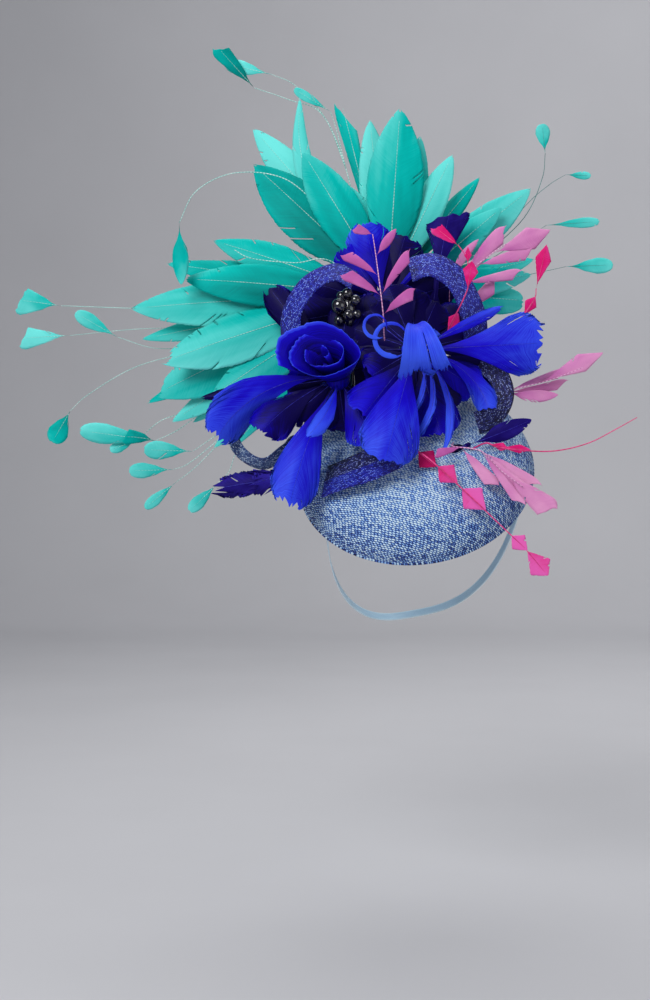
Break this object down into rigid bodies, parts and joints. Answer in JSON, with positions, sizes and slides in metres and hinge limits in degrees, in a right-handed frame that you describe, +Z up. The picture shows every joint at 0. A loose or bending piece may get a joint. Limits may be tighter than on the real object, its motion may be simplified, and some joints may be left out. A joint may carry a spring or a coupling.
{
  "type": "feathered fascinator",
  "caption": "Domed straw base on a head elastic, dressed with turquoise feather fans, blue feather flowers, straw loops, beads and fine mauve and pink quills.",
  "frame": {"origin": "middle of the base's rim, where it sits on the head", "axes": "+Z up as worn, +X to the right of someone who faces the show side, -Y towards them; the base is tipped 48 degrees to the front"},
  "size_m": [0.5599, 0.2144, 0.5454],
  "materials": {
    "denim_straw": "woven straw",
    "pale_elastic": "ribbed elastic",
    "blue_straw": "woven straw",
    "black_bead": "polished",
    "turquoise_feather": "dyed feather",
    "royal_feather": "dyed feather",
    "navy_feather": "dyed feather",
    "mauve_feather": "dyed feather",
    "pink_feather": "dyed feather"
  },
  "bodies": {
    "root": {"base_shell": "denim_straw", "head_elastic": "pale_elastic", "band_front": "blue_straw", "loop_upper_left": "blue_straw", "loop_upper_right": "blue_straw", "loop_right": "blue_straw", "loop_lower_left": "blue_straw", "bead_cluster": "black_bead", "turquoise_fan_left": "turquoise_feather", "turquoise_fan_top": "turquoise_feather", "turquoise_fan_right": "turquoise_feather", "quills_top": "turquoise_feather", "quills_left": "turquoise_feather", "quills_lower_left": "turquoise_feather", "quills_right": "turquoise_feather", "blue_flower_left": "royal_feather", "blue_flower_right": "royal_feather", "blue_feathers_back": "royal_feather", "navy_feather": "navy_feather", "navy_leaf": "navy_feather", "blue_feather_low": "navy_feather", "mauve_frond_top": "mauve_feather", "mauve_frond_upper_right": "mauve_feather", "mauve_frond_right": "mauve_feather", "mauve_frond_low": "mauve_feather", "pink_quill_front": "pink_feather", "pink_quill_right": "pink_feather", "pink_quill_top": "pink_feather", "pink_quill_upper_right": "pink_feather"}
  },
  "joints": []
}
